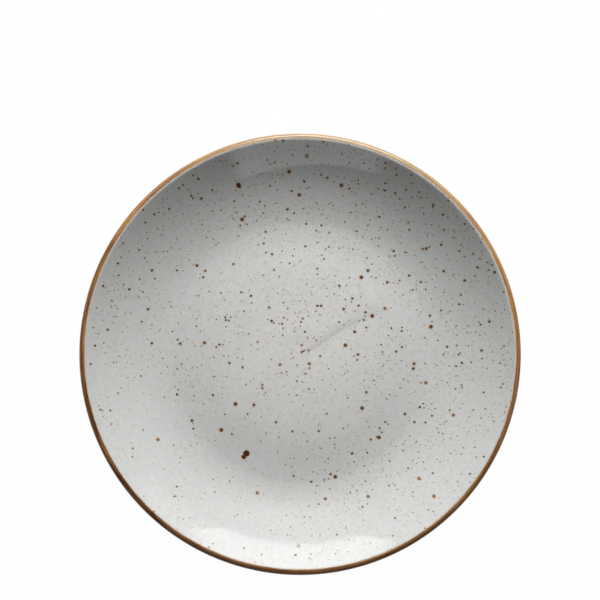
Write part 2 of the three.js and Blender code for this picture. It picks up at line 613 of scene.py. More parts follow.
class Field:
    """A value, colour or vector that varies over a surface: one output socket of a graph."""

    def __init__(self, graph: "Graph", socket: bpy.types.NodeSocket) -> None:
        """Wraps a socket of a graph."""
        self.graph = graph
        self.socket = socket

    def _math(self, operation: str, first: "Value", second: "Value" = 0.0, clamp: bool = False) -> "Field":
        """One Math node on two values."""
        return self.graph.field("Math", 0, {0: first, 1: second}, operation=operation, use_clamp=clamp)

    def __add__(self, other: "Value") -> "Field":
        """Sum."""
        return self._math("ADD", self, other)

    def __radd__(self, other: "Value") -> "Field":
        """Sum with a number first."""
        return self._math("ADD", other, self)

    def __sub__(self, other: "Value") -> "Field":
        """Difference."""
        return self._math("SUBTRACT", self, other)

    def __rsub__(self, other: "Value") -> "Field":
        """Difference from a number."""
        return self._math("SUBTRACT", other, self)

    def __mul__(self, other: "Value") -> "Field":
        """Product."""
        return self._math("MULTIPLY", self, other)

    def __rmul__(self, other: "Value") -> "Field":
        """Product with a number first."""
        return self._math("MULTIPLY", other, self)

    def __truediv__(self, other: "Value") -> "Field":
        """Quotient."""
        return self._math("DIVIDE", self, other)

    def __neg__(self) -> "Field":
        """Negative."""
        return self._math("MULTIPLY", self, -1.0)

    def __abs__(self) -> "Field":
        """Size without sign."""
        return self._math("ABSOLUTE", self)

    def __pow__(self, other: "Value") -> "Field":
        """Power."""
        return self._math("POWER", self, other)

    def below(self, limit: "Value") -> "Field":
        """One where the field is under a limit, and zero elsewhere."""
        return self._math("LESS_THAN", self, limit)

    def smaller(self, other: "Value") -> "Field":
        """The smaller of two values."""
        return self._math("MINIMUM", self, other)

    def larger(self, other: "Value") -> "Field":
        """The larger of two values."""
        return self._math("MAXIMUM", self, other)

    def clamped(self) -> "Field":
        """The field held between zero and one."""
        return self._math("ADD", self, 0.0, clamp=True)

    def root(self) -> "Field":
        """Square root."""
        return self._math("SQRT", self)

    def log(self) -> "Field":
        """Natural logarithm."""
        return self._math("LOGARITHM", self, math.e)

    def exp(self) -> "Field":
        """The number e to the power of the field."""
        return self._math("EXPONENT", self)

    def angle_from(self, across: "Value") -> "Field":
        """Angle whose rise is this field and whose run is the other one."""
        return self._math("ARCTAN2", self, across)

    def ramp(self, width: float) -> "Field":
        """A soft edge: from zero to one over the width, and one half where the field is zero."""
        return (self / width + 0.5).clamped()

    def fade(self, width: float) -> "Field":
        """One where the field is over zero, falling to zero at the width below it."""
        return (self / width + 1.0).clamped()

    def vector(self, operation: str, *others: "Input", output: Union[str, int] = 0) -> "Field":
        """One Vector Math node on this vector and others."""
        inputs = dict(enumerate((self, *others)))
        return self.graph.field("VectorMath", output, inputs, operation=operation)

    def parts(self) -> tuple["Field", "Field", "Field"]:
        """The three components of a vector or colour."""
        node = self.graph.node("SeparateXYZ", {"Vector": self})
        return tuple(Field(self.graph, output) for output in node.outputs)


Value = Union[Field, float]
Input = Union[Field, float, Sequence[float]]


class Graph:
    """A node tree, with one method that adds any node."""

    MIX_FACTOR = 0
    MIX_FIRST = 6
    MIX_SECOND = 7
    MIX_RESULT = 2

    def __init__(self, tree: bpy.types.NodeTree) -> None:
        """Takes over a tree and empties it."""
        tree.nodes.clear()
        self.tree = tree

    @classmethod
    def material(cls, name: str) -> tuple[bpy.types.Material, "Graph"]:
        """A new material, with a graph over its emptied tree.

        Args:
            name: the material's name.

        Returns:
            The material and its graph.
        """
        made = bpy.data.materials.new(name)
        made.use_nodes = True
        return made, cls(made.node_tree)

    def node(
        self, kind: str, inputs: Optional[Mapping[Union[str, int], Input]] = None, **settings: object
    ) -> bpy.types.Node:
        """Adds a node, sets it, and then fills its sockets.

        Args:
            kind: the node's type, without its ShaderNode prefix.
            inputs: sockets by name or number, each with a field to link or a constant to set.
            settings: the node's own attributes, set before its sockets.

        Returns:
            The node.
        """
        node = self.tree.nodes.new("ShaderNode" + kind)
        for name, value in settings.items():
            setattr(node, name, value)
        for key, value in (inputs or {}).items():
            if isinstance(value, Field):
                self.tree.links.new(value.socket, node.inputs[key])
            else:
                node.inputs[key].default_value = value
        return node

    def field(
        self,
        kind: str,
        output: Union[str, int],
        inputs: Optional[Mapping[Union[str, int], Input]] = None,
        **settings: object,
    ) -> Field:
        """Adds a node and returns one of its outputs."""
        return Field(self, self.node(kind, inputs, **settings).outputs[output])

    def mixed(self, share: Value, first: Input, second: Input) -> Field:
        """A colour that goes from first to second as share goes from zero to one."""
        inputs = {self.MIX_FACTOR: share, self.MIX_FIRST: first, self.MIX_SECOND: second}
        return self.field("Mix", self.MIX_RESULT, inputs, data_type="RGBA")

    def noise(self, place: Field, grain: float, detail: float = 2.0, roughness: float = 0.5) -> Field:
        """Smooth noise about one half, whose blobs are about as wide as the grain."""
        inputs = {"Vector": place, "Scale": 1 / grain, "Detail": detail, "Roughness": roughness}
        return self.field("TexNoise", "Fac", inputs)

    def swung(
        self, place: Field, grain: float, swing: float, detail: float = 2.0, roughness: float = 0.5
    ) -> Field:
        """The same noise about zero, with its whole span as wide as the swing."""
        return (self.noise(place, grain, detail, roughness) - 0.5) * swing

    def jittered(self, place: Field, grain: float, reach: float) -> Field:
        """A place moved about by coloured noise, by up to half the reach each way.

        Args:
            place: where on the surface, in metres.
            grain: width of the noise's blobs.
            reach: twice the furthest move.

        Returns:
            The moved place.
        """
        inputs = {"Vector": place, "Scale": 1 / grain, "Detail": 1.0}
        push = self.field("TexNoise", "Color", inputs).vector("SUBTRACT", (0.5, 0.5, 0.5))
        return push.vector("MULTIPLY_ADD", (reach, reach, reach), place)

    def surface(self, shader: bpy.types.Node) -> None:
        """Ends the tree in a shader."""
        output = self.node("OutputMaterial")
        self.tree.links.new(shader.outputs[0], output.inputs["Surface"])


@dataclass(frozen=True)
class Drift:
    """How thickly the specks fell: in clouds and small clusters, and thicker towards one side."""

    cloud_grain: float = 30 * MM
    cloud_swing: float = 2.2
    cluster_grain: float = 7 * MM
    cluster_swing: float = 2.6
    lean_x: float = 0.0025 / MM
    lean_y: float = 0.004 / MM
    least: float = 0.1

    def density(self, graph: Graph, place: Field) -> Field:
        """Density about one: two noises about their own middle, plus a slope across the plan.

        Args:
            graph: the material's graph.
            place: where on the surface, in metres.

        Returns:
            The density, never under the least one.
        """
        x, y, _ = place.parts()
        clouds = graph.swung(place, self.cloud_grain, self.cloud_swing)
        clusters = graph.swung(place, self.cluster_grain, self.cluster_swing)
        return (1.0 + clouds + clusters + x * self.lean_x + y * self.lean_y).larger(self.least)


@dataclass(frozen=True)
class Speckle:
    """One scatter of iron specks, at most one to each cell of an even spread of points.

    A speck covers what lies nearer to its cell's point than its radius, with a soft edge. Its radius is the
    smallest one minus the spread times the logarithm of a random share, so that each larger size is rarer in
    the same proportion. It is rust at its edge, redder or yellower by the same draw that places it, and dark
    iron deeper in, so that only a larger speck has a dark core. A little rust bleeds out round it.
    """

    cell: float
    share: float
    smallest: float
    spread: float
    largest: float
    opacity: float
    shift: tuple[float, float, float]
    edge: float = 0.18 * MM
    core: float = 0.45 * MM
    core_hold: float = 0.35
    halo: float = 0.45 * MM
    halo_opacity: float = 0.14
    red_rust: Colour = srgb(154, 104, 32)
    yellow_rust: Colour = srgb(142, 115, 34)
    iron: Colour = srgb(91, 57, 8)

    def over(self, graph: Graph, base: Field, place: Field, density: Field) -> Field:
        """Lays the specks over a colour.

        Args:
            graph: the material's graph.
            base: the colour under the specks.
            place: where on the surface, in metres.
            density: how thickly the specks fell there.

        Returns:
            The speckled colour.
        """
        inputs = {"Vector": place.vector("ADD", self.shift), "Scale": 1 / self.cell, "Randomness": 1.0}
        cells = graph.node("TexVoronoi", inputs, voronoi_dimensions="2D", feature="F1")
        marks = {"Vector": Field(graph, cells.outputs["Color"])}
        chance, size, bleed = graph.field("TexWhiteNoise", "Color", marks, noise_dimensions="3D").parts()
        radius = (self.smallest - size.log() * self.spread).smaller(self.largest)
        inside = radius - Field(graph, cells.outputs["Distance"]) * self.cell
        present = chance.below(density * self.share)
        stain = inside.fade(self.halo) * present * self.halo_opacity
        cover = inside.ramp(self.edge) * present * self.opacity
        tone = (inside / self.core + bleed - self.core_hold).clamped()
        rust = graph.mixed((chance / self.share).clamped(), self.red_rust, self.yellow_rust)
        return graph.mixed(cover, graph.mixed(stain, base, rust), graph.mixed(tone, rust, self.iron))


@dataclass(frozen=True)
class Blots:
    """The largest specks, listed one by one: middles in millimetres on the plan, one radius and tone a group.
    """

    radius: float
    dark: Colour
    middles: Sequence[Point]
    edge: float = 0.42 * MM
    halo: float = 0.8 * MM
    halo_opacity: float = 0.3
    rust: Colour = srgb(170, 124, 70)

    def over(self, graph: Graph, base: Field, place: Field) -> Field:
        """Lays the blots over a colour: rust that bleeds a little way out, then the dark iron.

        Args:
            graph: the material's graph.
            base: the colour under the blots.
            place: where on the surface, in metres, with no height.

        Returns:
            The blotted colour.
        """
        middles = [(x * MM, y * MM, 0.0) for x, y in self.middles]
        distances = [place.vector("DISTANCE", middle, output="Value") for middle in middles]
        inside = self.radius - reduce(Field.smaller, distances)
        bleed = inside.fade(self.halo) * self.halo_opacity
        return graph.mixed(inside.ramp(self.edge), graph.mixed(bleed, base, self.rust), self.dark)


DUST = Speckle(
    cell=1.3 * MM,
    share=0.57,
    smallest=0.05 * MM,
    spread=0.048 * MM,
    largest=0.24 * MM,
    opacity=0.6,
    shift=(0.053, 0.019, 0.0),
    edge=0.14 * MM,
    halo=0.3 * MM,
    halo_opacity=0.06,
)
FINE_SPECKS = Speckle(
    cell=3.1 * MM,
    share=0.32,
    smallest=0.12 * MM,
    spread=0.13 * MM,
    largest=0.7 * MM,
    opacity=0.9,
    shift=(0.0, 0.0, 0.0),
)
SPECKS = Speckle(
    cell=3.9 * MM,
    share=0.39,
    smallest=0.16 * MM,
    spread=0.17 * MM,
    largest=0.8 * MM,
    opacity=0.92,
    shift=(0.117, 0.241, 0.0),
)
SCATTERS = (DUST, FINE_SPECKS, SPECKS)

BACK_SHIFT = (0.31, 0.17, 0.0)  # metres to another part of the same scatters

DARKEST = srgb(80, 39, 10)
BROWN = srgb(108, 68, 36)
TAWNY = srgb(141, 100, 63)
# A speck colour paled by a painted highlight, for the blot that lies in the wall's mirrored highlight.
SPECK_UNDER_PAINTED_HIGHLIGHT = srgb(174, 153, 132)
BLOTS = (
    Blots(
        radius=0.62 * MM,
        dark=BROWN,
        middles=[
            (1, 1), (5, 2), (1, 5), (12, -1.5), (-22.5, -18.5), (-22.5, -20.5), (-18.5, 27.5), (38, 20),
        ],
    ),
    Blots(
        radius=0.78 * MM,
        dark=BROWN,
        middles=[
            (-14.5, 126), (-10, 125.5), (4.5, 122.5), (-7.5, 86), (-58.5, 92), (-88, 49.5), (-90.5, 26.5),
            (-71.5, 6), (-17, 19.5), (12.5, 28.5), (26, 26.5), (52, 42.5), (97.5, 43.5), (107.5, 2),
            (62.5, -36), (31, -59.5), (75, 62.5), (34.5, -0.5), (39.5, -23), (-12, -6.5),
        ],
    ),
    Blots(
        radius=0.88 * MM,
        dark=BROWN,
        middles=[
            (-61.5, 52.5), (-57, 6.5), (32.5, 13), (68, -6), (67.5, -9), (-27.5, -30.5), (-64.5, -40),
            (40.5, 49.5),
        ],
    ),
    Blots(
        radius=0.95 * MM,
        dark=TAWNY,
        middles=[
            (5.5, -6), (50.5, 27), (75, -17.5), (91, -36.5), (15, -86.5), (40.5, -85), (70.5, -74),
            (79, -84), (-25.5, -83), (-84.5, -51),
        ],
    ),
    # This blot lies in the wall's mirrored highlight: its pale colour is a painted highlight over a dark
    # speck.
    Blots(radius=0.95 * MM, dark=SPECK_UNDER_PAINTED_HIGHLIGHT, middles=[(-1, -113.5)]),
    Blots(
        radius=1.13 * MM,
        dark=BROWN,
        middles=[
            (4, 117), (-34.5, 80), (-47, -45.5), (36.5, 45.5), (37, -32.5), (47, -50), (27, 5), (78, 16),
            (-38.5, -30), (43, 22.5), (-6.5, 108), (24.5, 100), (-0.5, 94.5), (21, -73.5),
        ],
    ),
    Blots(radius=1.45 * MM, dark=DARKEST, middles=[(-33.5, -61.5), (-36.5, 100)]),
    Blots(radius=1.9 * MM, dark=DARKEST, middles=[(-32, -59.5)]),
)


@dataclass(frozen=True)
class LipTint:
    """How the brown wash lies over the lip, by the way round it from its crest.

    The way is the angle round the lip's middle times the radius of the coats' face: negative towards the
    front and positive over the outside. Noise frays both edges. The wash is narrower towards one bearing and
    thinner towards another. A painted highlight pales and greys it about a third bearing, towards the back
    lamps.
    """

    sizes: PlateSizes
    thin_bearing: float = math.radians(50)
    narrow_bearing: float = math.radians(15)
    # The painted highlight on the wash: its bearing, towards the back lamps, and its reach to each side.
    highlight_bearing: float = math.radians(12)
    highlight_reach: float = math.radians(60)
    overlap: float = 0.58 * MM
    lean: float = 0.52 * MM
    fray: float = 0.8 * MM
    fray_grain: float = 5 * MM
    fray_detail: float = 3.0
    soft: float = 0.6 * MM
    halo_width: float = 1.2 * MM

    @property
    def reach(self) -> float:
        """Radius of the coats' face round the lip's middle."""
        return self.sizes.lip_radius + self.sizes.coat_build

    @property
    def front(self) -> float:
        """Way to the wash's edge on the front, where it runs a little over the front glaze."""
        return self.sizes.band_start * self.reach - self.overlap

    @property
    def back(self) -> float:
        """Way to the wash's edge on the back."""
        return (math.pi / 2 + self.sizes.band_back_reach) * self.reach

    def way(self, place: Field) -> Field:
        """The way round the lip from its crest, in metres.

        Args:
            place: where on the surface, in metres.

        Returns:
            The way.
        """
        x, y, z = place.parts()
        lip_radius, lip_height = self.sizes.lip_centre
        across = (x * x + y * y).root() - lip_radius
        return (math.pi / 2 - (z - lip_height).angle_from(across)) * self.reach

    def towards(self, place: Field, bearing: float) -> Field:
        """How far a place lies towards a bearing: one at the rim there, and minus one across from it."""
        x, y, _ = place.parts()
        return (x * math.sin(bearing) + y * math.cos(bearing)) / self.sizes.rim_radius

    def thinning(self, place: Field) -> Field:
        """How far a place lies towards the side of the thin wash."""
        return self.towards(place, self.thin_bearing)

    def painted_highlight(self, place: Field) -> Field:
        """Share of the painted highlight on the wash: one at its bearing, towards the back lamps, and zero or
        less past the reach to each side.
        """
        edge = math.cos(self.highlight_reach)
        return (self.towards(place, self.highlight_bearing) - edge) / (1 - edge)

    def frayed(self, graph: Graph, place: Field, way: Field) -> Field:
        """The way, moved about by noise, and set off so that the wash is narrower towards one side."""
        noise = graph.swung(place, self.fray_grain, self.fray, self.fray_detail)
        return way + noise - self.towards(place, self.narrow_bearing) * self.lean

    def cover(self, frayed: Field) -> Field:
        """Share of the brown wash: one between its two edges, and zero past them."""
        return (frayed - self.front).ramp(self.soft) * (self.back - frayed).ramp(self.soft)

    def halo(self, frayed: Field) -> Field:
        """Share of the warm bleed just inside the front edge, fading towards the wall."""
        return (frayed - self.front).fade(self.halo_width) * frayed.below(self.back)


@dataclass(frozen=True)
class GlazeFinish:
    """Glossy pale grey glaze, warm in the middle and cool outwards, with iron specks and a brown lip wash
    that a painted highlight pales towards the back lamps.
    """

    name: str
    tint: LipTint
    blots: Sequence[Blots] = ()
    drift: Drift = Drift()
    scatter_shift: tuple[float, float, float] = (0.0, 0.0, 0.0)
    warm: Colour = srgb(213, 212, 209)
    cool: Colour = srgb(202, 203, 201)
    middle: float = 22 * MM
    middle_fade: float = 46 * MM
    cloud_grain: float = 40 * MM
    cloud_swing: float = 0.7
    mottle_grain: float = 2.6 * MM
    mottle_swing: float = 0.26
    mottle_detail: float = 4.0
    mottle_roughness: float = 0.65
    tone_lean: float = 0.0002 / MM
    rim_dim: float = 0.04
    rim_dim_width: float = 30 * MM
    ragged_grain: float = 1.1 * MM
    ragged_reach: float = 0.45 * MM
    halo_colour: Colour = srgb(206, 182, 150)
    halo_opacity: float = 0.5
    wash_dark: Colour = srgb(95, 49, 21)
    wash_rust: Colour = srgb(190, 138, 80)
    # Painted highlight: the grey tan that the wash pales to towards the back lamps, and its largest share.
    wash_painted_highlight: Colour = srgb(156, 146, 118)
    painted_highlight_share: float = 0.5
    wash_tone: float = -0.86
    thin_swing: float = 0.14
    streak_swing: float = 2.6
    streak_grain: float = 22 * MM
    streak_width: float = 0.9 * MM
    streak_detail: float = 3.0
    streak_roughness: float = 0.6
    gloss: float = 0.06
    wash_gloss: float = 0.24
    ior: float = 1.5
    peel_grain: float = 5 * MM
    peel_height: float = 0.01 * MM
    streak_height: float = 0.03 * MM

    def material(self) -> bpy.types.Material:
        """Builds the material.

        Returns:
            A principled material whose colour, roughness and fine bump vary over the piece.
        """
        made, graph = Graph.material(self.name)
        place = graph.field("TexCoord", "Object")
        way = self.tint.way(place)
        frayed = self.tint.frayed(graph, place, way)
        wash = self.tint.cover(frayed)
        streaks = self.streaks(graph, place, way)
        thinned = streaks * self.streak_swing + self.tint.thinning(place) * self.thin_swing + self.wash_tone
        brown = graph.mixed(thinned.clamped(), self.wash_dark, self.wash_rust)
        # Painted highlight: the wash pales and greys towards the back lamps, as their reflection on the lip's
        # top would.
        pale = (self.tint.painted_highlight(place) * self.painted_highlight_share).clamped()
        brown = graph.mixed(pale, brown, self.wash_painted_highlight)
        bleed = self.tint.halo(frayed) * self.halo_opacity
        colour = graph.mixed(wash, graph.mixed(bleed, self.speckled(graph, place), self.halo_colour), brown)
        peel = graph.noise(place, self.peel_grain) * self.peel_height
        height = peel + streaks * wash * self.streak_height
        bump = graph.field("Bump", "Normal", {"Strength": 1.0, "Distance": 1.0, "Height": height})
        inputs = {
            "Base Color": colour,
            "Roughness": wash * (self.wash_gloss - self.gloss) + self.gloss,
            "Normal": bump,
            "IOR": self.ior,
        }
        graph.surface(graph.node("BsdfPrincipled", inputs))
        return made

    def ground(self, graph: Graph, place: Field) -> Field:
        """The glaze without its specks: warm in the middle, cool past it, clouded, and dimmer at the rim.

        Args:
            graph: the material's graph.
            place: where on the surface, in metres.

        Returns:
            The colour.
        """
        x, y, _ = place.parts()
        radius = (x * x + y * y).root()
        outwards = (radius - self.middle) / self.middle_fade
        clouds = graph.swung(place, self.cloud_grain, self.cloud_swing)
        toned = graph.mixed((outwards + clouds).clamped(), self.warm, self.cool)
        fineness = (self.mottle_detail, self.mottle_roughness)
        mottle = graph.swung(place, self.mottle_grain, self.mottle_swing, *fineness)
        near_rim = (radius - self.tint.sizes.rim_radius).fade(self.rim_dim_width)
        tone = mottle + x * self.tone_lean - near_rim * self.rim_dim + 1.0
        return graph.field("VectorMath", 0, {0: toned, "Scale": tone}, operation="SCALE")

    def speckled(self, graph: Graph, place: Field) -> Field:
        """The glaze under its scattered specks and its blots.

        Args:
            graph: the material's graph.
            place: where on the surface, in metres.

        Returns:
            The colour.
        """
        colour = self.ground(graph, place)
        density = self.drift.density(graph, place)
        flat = place.vector("MULTIPLY", (1.0, 1.0, 0.0))
        ragged = graph.jittered(flat, self.ragged_grain, self.ragged_reach)
        shifted = ragged.vector("ADD", self.scatter_shift)
        for scatter in SCATTERS:
            colour = scatter.over(graph, colour, shifted, density)
        for group in self.blots:
            colour = group.over(graph, colour, ragged)
        return colour

    def streaks(self, graph: Graph, place: Field, way: Field) -> Field:
        """Brush streaks that run along the lip: noise that is slow along it and quick across it.

        Args:
            graph: the material's graph.
            place: where on the surface, in metres.
            way: the way round the lip from its crest.

        Returns:
            The noise, about one half.
        """
        inputs = {
            "Vector": place,
            "W": way * (self.streak_grain / self.streak_width),
            "Scale": 1 / self.streak_grain,
            "Detail": self.streak_detail,
            "Roughness": self.streak_roughness,
        }
        return graph.field("TexNoise", "Fac", inputs, noise_dimensions="4D")


@dataclass(frozen=True)
class BiscuitFinish:
    """Bare fired clay: dry, pale and grainy, greyed where the tread has been slid about."""

    name: str
    pale: Colour = srgb(222, 214, 201)
    sandy: Colour = srgb(198, 184, 164)
    scuffed: Colour = srgb(166, 160, 152)
    grain: float = 0.9 * MM
    grain_detail: float = 4.0
    grain_roughness: float = 0.7
    grain_span: float = 0.5
    grain_height: float = 0.05 * MM
    bump_strength: float = 0.6
    scuff_grain: float = 9 * MM
    scuff_detail: float = 3.0
    scuff_contrast: float = 3.0
    scuff_least: float = 0.4
    scuff_height: float = 0.35 * MM
    scuff_share: float = 0.7
    scuff_polish: float = 0.2
    roughness: float = 0.82

    def material(self) -> bpy.types.Material:
        """Builds the material.

        Returns:
            A dry principled material with a sandy grain.
        """
        made, graph = Graph.material(self.name)
        place = graph.field("TexCoord", "Object")
        grain = graph.noise(place, self.grain, self.grain_detail, self.grain_roughness)
        colour = graph.mixed((grain - 0.5).ramp(self.grain_span), self.pale, self.sandy)
        low = (1.0 - place.parts()[2] / self.scuff_height).clamped()
        rubbed = graph.noise(place, self.scuff_grain, self.scuff_detail) - self.scuff_least
        scuffs = (rubbed * self.scuff_contrast).clamped() * low * self.scuff_share
        bump = {"Strength": self.bump_strength, "Distance": self.grain_height, "Height": grain}
        inputs = {
            "Base Color": graph.mixed(scuffs, colour, self.scuffed),
            "Roughness": self.roughness - scuffs * self.scuff_polish,
            "Normal": graph.field("Bump", "Normal", bump),
        }
        graph.surface(graph.node("BsdfPrincipled", inputs))
        return made


# Pieces


def dressed(
    thing: bpy.types.Object, node: str, material: bpy.types.Material
) -> bpy.types.Object:
    """Gives a piece its material, and its place on the frame in the stead of a CAD node.

    Args:
        thing: the new piece.
        node: the CAD node that it stands for.
        material: its finish.

    Returns:
        The piece.
    """
    thing.data.materials.append(material)
    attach(thing, BODY)
    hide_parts(node)
    LOG.info("%s stands for %s: %d faces", thing.name, node, len(thing.data.polygons))
    return thing


@dataclass(frozen=True)
class TurningMarks:
    """Shallow turning marks that the front glaze has half filled, as heights in metres over the plan.

    A swirl ends in a step beside the middle, a low ridge runs part of the way round it, rings lie over the
    well, and slow lobes go round the wall. Each lobe has its count round the plate, its share of the height,
    and its phase in radians.
    """

    wall_start: float
    wall_end: float
    swirl_start: Point = (2.5 * MM, -2 * MM)
    swirl_end: Point = (50 * MM, 25 * MM)
    swirl_bow: float = 2.5 * MM
    swirl_slope: float = 0.2
    swirl_widths: Point = (3 * MM, 9 * MM)
    swirl_ramp: float = 22 * MM
    ridge_radius: float = 14.5 * MM
    ridge_middle: float = math.radians(115)
    ridge_spread: float = math.radians(60)
    ridge_width: float = 4.5 * MM
    ridge_height: float = 0.12 * MM
    ring_spacings: Sequence[float] = (5.5 * MM, 8.965 * MM)
    ring_height: float = 0.004 * MM
    lobes: Sequence[tuple[int, float, float]] = ((5, 1.0, 0.8), (8, 0.8, 2.1), (13, 0.5, 0.0))
    lobe_height: float = 0.05 * MM

    @staticmethod
    def eased(share: np.ndarray) -> np.ndarray:
        """A smooth rise from zero to one: 3 s^2 - 2 s^3 of the share, held between its ends."""
        held = np.clip(share, 0, 1)
        return held**2 * (3 - 2 * held)

    def swirl(self, x: np.ndarray, y: np.ndarray) -> np.ndarray:
        """Height of the swirl: a bowed step that widens along its length, between two slow ramps.

        Its line bows aside by 4 s (1 - s) of the bow at a share s of its length. Across it, the surface ramps
        up by half the step's height, falls by all of it as the square of the way across, so that it is
        steepest at the foot, and ramps back up. The step is as high as half its width times the slope at its
        foot, which eases in at the start and fades along the swirl as the root of 1 - s.

        Args:
            x, y: places on the plan, as grids.

        Returns:
            The heights, as a grid.
        """
        start, end = np.array(self.swirl_start), np.array(self.swirl_end)
        length = float(np.linalg.norm(end - start))
        along_x, along_y = (end - start) / length
        along = (x - start[0]) * along_x + (y - start[1]) * along_y
        share = np.clip(along / length, 0, 1)
        bow = self.swirl_bow * 4 * share * (1 - share)
        beyond = (x - start[0]) * along_y - (y - start[1]) * along_x + bow
        narrow, wide = self.swirl_widths
        width = narrow + (wide - narrow) * share
        fall = np.clip(beyond / width + 1, 0, 1) ** 2
        before = self.eased((beyond + width) / self.swirl_ramp + 1)
        after = self.eased(beyond / self.swirl_ramp)
        slope = self.swirl_slope * np.sqrt(1 - share) * self.eased(along / wide)
        return slope * width / 2 * ((before + after) / 2 - fall)

    def height(self, x: np.ndarray, y: np.ndarray) -> np.ndarray:
        """Height of all the marks above the plain face.

        The ridge is a Gaussian of the radius and of the turn. The rings are cosines of the radius that fade
        up the wall. The lobes are cosines of the turn, times the squared sine of pi times the way up the
        wall.

        Args:
            x, y: places on the plan, as grids.

        Returns:
            The heights, as a grid.
        """
        radius, turn = np.hypot(x, y), np.arctan2(y, x)
        off_ridge = (turn - self.ridge_middle + math.pi) % math.tau - math.pi
        from_ridge = (radius - self.ridge_radius) / self.ridge_width
        ridge = np.exp(-(from_ridge**2) - (off_ridge / self.ridge_spread) ** 2)
        rings = sum(np.cos(math.tau * radius / spacing) for spacing in self.ring_spacings)
        wall = np.clip((radius - self.wall_start) / (self.wall_end - self.wall_start), 0, 1)
        lobes = sum(share * np.cos(count * turn + phase) for count, share, phase in self.lobes)
        return (
            self.swirl(x, y)
            + self.ridge_height * ridge
            + self.ring_height * rings * (1 - wall)
            + self.lobe_height * lobes * np.sin(math.pi * wall) ** 2
        )


@dataclass
class Coat:
    """A fused coat: a stretch of the meridian, with a face to the air and a seat on the clay.

    Its section is the face along the run, and then the seat back again in longer steps. Where the run ends on
    the axis the seat comes first, so that the section still starts and ends there.
    """

    name: str
    node: str
    slot: str
    run: Run
    sizes: PlateSizes
    seat_patch: Patch = Patch.HIDDEN_BACK
    layout: Layout = Layout.DISCS
    relief: Optional[Relief] = None
    steps: int = 360
    seat_stride: int = 4

    def build(self, material: bpy.types.Material) -> bpy.types.Object:
        """Makes the piece and dresses it in a material.

        Args:
            material: its finish.

        Returns:
            The piece, linked to the scene.
        """
        face = self.run.raised(self.sizes.coat_build)
        seat = self.run.raised(self.sizes.coat_clearance)[::-1]
        kept = np.unique([*range(0, len(seat), self.seat_stride), len(seat) - 1])
        profile = np.concatenate([face, seat[kept]])
        on_face = np.arange(len(profile)) < len(face)
        if self.run.points[-1, 0] < AXIS_REACH:
            profile = np.roll(profile, len(kept), axis=0)
            on_face = np.roll(on_face, len(kept))
        shown = on_face & np.roll(on_face, -1)
        patches = [Patch.MAIN if each else self.seat_patch for each in shown]
        turned = Turned(profile, patches, self.steps, self.layout, self.relief, on_face)
        return dressed(turned.build(self.name), self.node, material)


@dataclass
class ClayBody:
    """The fired clay under the coats, which shows only on its foot ring."""

    meridian: Meridian
    steps: int = 180

    def build(self, material: bpy.types.Material) -> bpy.types.Object:
        """Makes the piece and dresses it in a material.

        Args:
            material: its finish.

        Returns:
            The piece, linked to the scene.
        """
        line = self.meridian
        above = line.front().then(line.lip(line.lip_front, line.lip_back), line.back())
        bare = line.bare()
        whole = above.then(bare, line.hollow())
        bare_start = len(above.points) - 1
        bare_count = len(bare.points) - 1
        patches = [Patch.HIDDEN_FRONT] * bare_start + [Patch.MAIN] * bare_count
        patches += [Patch.HIDDEN_BACK] * (len(whole.points) - len(patches))
        turned = Turned(whole.points, patches, self.steps)
        return dressed(turned.build("bare_clay_body"), "clay_body", material)


# Studio


class Face(Enum):
    """A lamp's outline, with the share of its width times its height that it covers."""

    RECTANGLE = 1.0
    ELLIPSE = math.pi / 4


class Share(Enum):
    """Which pieces a lamp lights, with what a light link says of the lip band."""

    EVERY_PIECE = None
    BAND_ALONE = "INCLUDE"
    ALL_BUT_BAND = "EXCLUDE"


@dataclass(frozen=True)
class Lamp:
    """A flat lamp aimed at the plate, placed by its bearing from the plate's middle.

    The bearing is measured from +Y towards +X, and the elevation is an angle above the table, both in
    degrees. Radiance is the brightness of its face, where 1 is white, so its power is radiance times pi times
    its area. Mirror-like surfaces show it only where it is mirrored.
    """

    name: str
    face: Face
    bearing: float
    elevation: float
    distance: float
    width: float
    height: float
    radiance: float
    colour: tuple[float, float, float] = (1.0, 1.0, 1.0)
    mirrored: bool = False
    share: Share = Share.EVERY_PIECE

    def build(self, band: bpy.types.Object) -> bpy.types.Object:
        """Makes the lamp, turned so that its face looks at the plate and its width lies level.

        Args:
            band: the lip band, which some lamps light alone or leave out.

        Returns:
            The lamp, linked to the scene.
        """
        data = bpy.data.lights.new(self.name, "AREA")
        data.shape = self.face.name
        data.size, data.size_y = self.width, self.height
        data.energy = self.radiance * math.pi * self.width * self.height * self.face.value
        data.color = self.colour
        lamp = placed(self.name, data)
        bearing, elevation = math.radians(self.bearing), math.radians(self.elevation)
        level = math.cos(elevation)
        away = Vector((math.sin(bearing) * level, math.cos(bearing) * level, math.sin(elevation)))
        lamp.location = away * self.distance
        lamp.rotation_euler = (-away).to_track_quat("-Z", "Y").to_euler()
        lamp.visible_camera = False
        lamp.visible_glossy = self.mirrored
        if self.share is not Share.EVERY_PIECE:
            linked = bpy.data.collections.new(self.name + "_pieces")
            linked.objects.link(band)
            linked.collection_objects[0].light_linking.link_state = self.share.value
            lamp.light_linking.receiver_collection = linked
        return lamp


BACK_SOFTBOX = Lamp(
    name="back_softbox",
    face=Face.RECTANGLE,
    bearing=6.5,
    elevation=24,
    distance=2.0,
    width=1.43,
    height=0.72,
    radiance=19.4,
    share=Share.ALL_BUT_BAND,
)


def off_bearing(x: Field, y: Field, bearing: float) -> Field:
    """How many degrees a place lies past a bearing: the arc tangent of its way aside over its way ahead.

    Args:
        x, y: the place.
        bearing: the bearing, in degrees.

    Returns:
        The degrees, from -180 to 180.
    """
    turn = math.radians(bearing)
    aside = x * math.cos(turn) - y * math.sin(turn)
    ahead = x * math.sin(turn) + y * math.cos(turn)
    return aside.angle_from(ahead) * DEGREES


